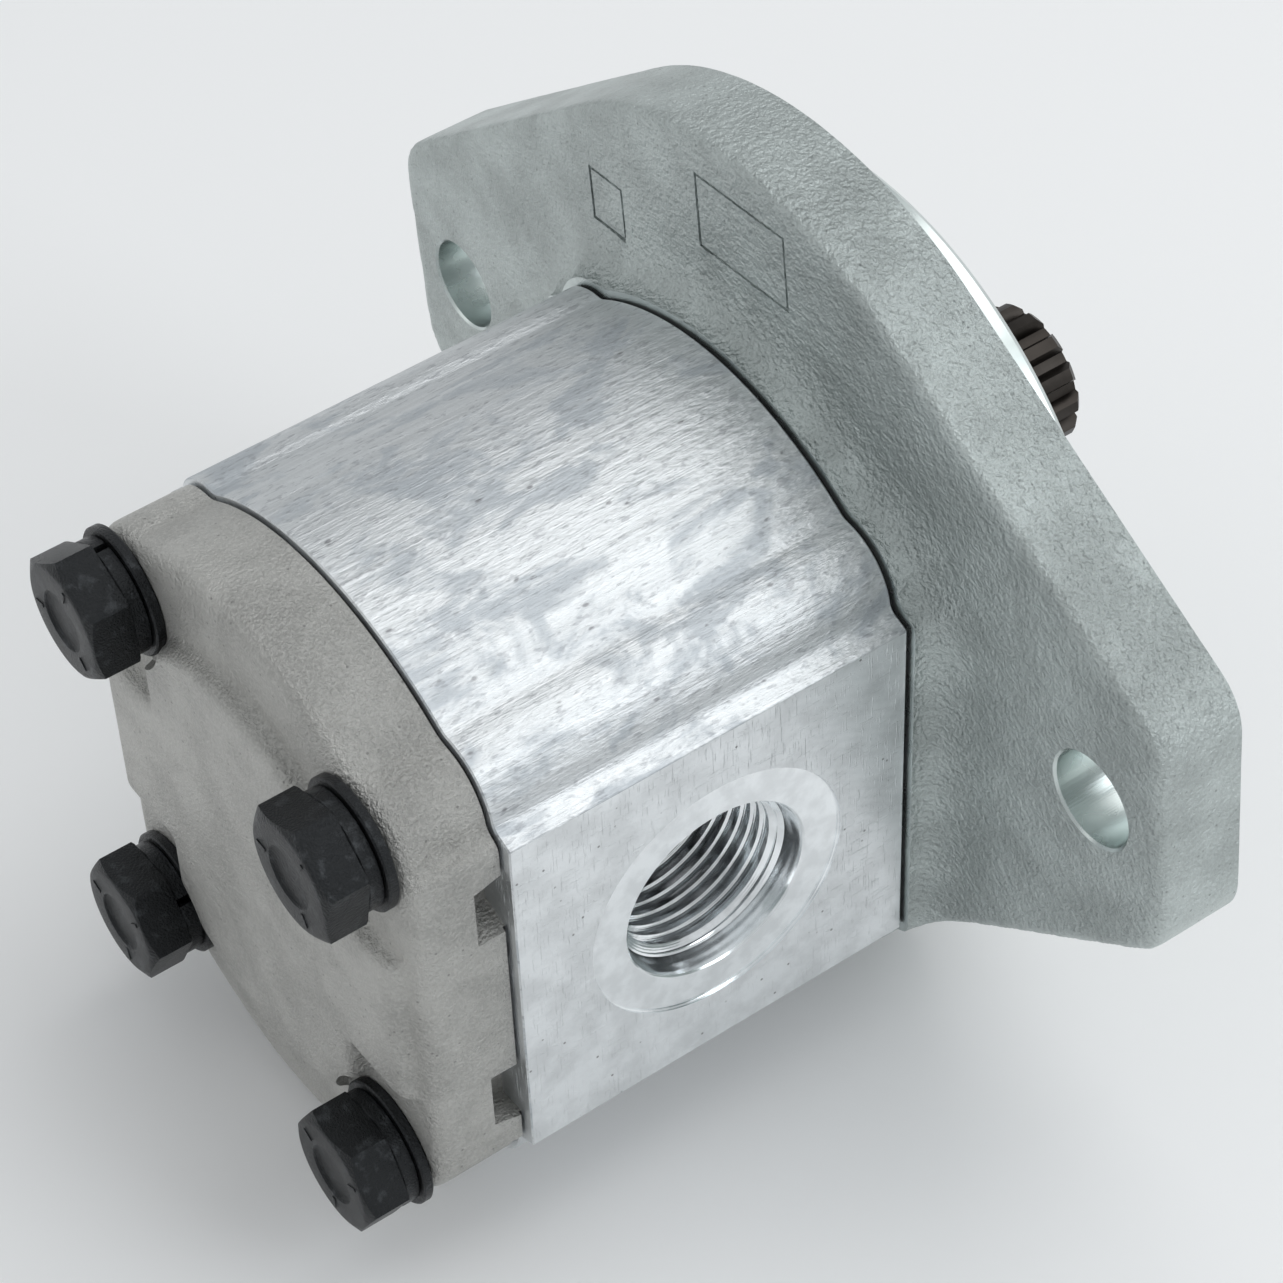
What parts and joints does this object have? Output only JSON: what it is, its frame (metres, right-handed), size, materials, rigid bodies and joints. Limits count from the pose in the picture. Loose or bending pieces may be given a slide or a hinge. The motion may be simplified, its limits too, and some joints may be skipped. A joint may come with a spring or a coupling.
{
  "type": "hydraulic gear pump",
  "caption": "External gear pump: cast ear flange with spigot, extruded body with threaded side ports, die-cast rear cover, hex bolts, splined drive shaft, gear pair inside.",
  "frame": {"origin": "centre of the flange's mounting face, on the drive shaft's axis, where the spigot starts", "axes": "+Y along the drive shaft out of the flange, +Z from the idler gear's axis up to the drive gear's axis, +X towards the larger port"},
  "size_m": [0.1748, 0.1444, 0.1285],
  "materials": {
    "zinc_casting": "zinc-plated casting, fine grain",
    "extruded_aluminium": "bright extrusion, drawn lines",
    "diecast_aluminium": "satin die casting",
    "ground_steel": "ground and hardened steel",
    "black_steel": "black oxide",
    "block_alloy": "machined bearing alloy",
    "bush_bronze": "sintered bronze, grey lining",
    "seal_rubber": "moulded nitrile",
    "backup_plastic": "pale nylon",
    "spring_steel": "sprung steel"
  },
  "bodies": {
    "housing": {"front_cover": "zinc_casting", "pump_body": "extruded_aluminium", "rear_cover": "diecast_aluminium", "front_bearing_block": "block_alloy", "rear_bearing_block": "block_alloy", "drive_front_bush": "bush_bronze", "drive_rear_bush": "bush_bronze", "idler_front_bush": "bush_bronze", "idler_rear_bush": "bush_bronze", "front_axial_seal": "seal_rubber", "rear_axial_seal": "seal_rubber", "front_seal_backup": "backup_plastic", "rear_seal_backup": "backup_plastic", "front_body_seal": "seal_rubber", "rear_body_seal": "seal_rubber", "shaft_seal_case": "spring_steel", "shaft_seal_lip": "seal_rubber", "shaft_seal_spring": "spring_steel", "seal_retaining_ring": "spring_steel", "cover_bolts": "black_steel", "lock_washers": "black_steel", "flat_washers": "black_steel", "front_dowel_pins": "ground_steel", "rear_dowel_pins": "ground_steel"},
    "drive_gear": {"drive_gear_shaft": "ground_steel"},
    "idler_gear": {"idler_gear_shaft": "ground_steel"}
  },
  "joints": [
    {"name": "drive_spin", "type": "hinge", "parent": "housing", "child": "drive_gear", "pos_m": [0, 0, 0], "axis": [0, 1, 0], "continuous": true},
    {"name": "idler_spin", "type": "hinge", "parent": "housing", "child": "idler_gear", "pos_m": [0, 0, -0.031], "axis": [0, 1, 0], "continuous": true}
  ],
  "couplings": [
    {"joint": "idler_spin", "follows": "drive_spin", "ratio": -1}
  ]
}
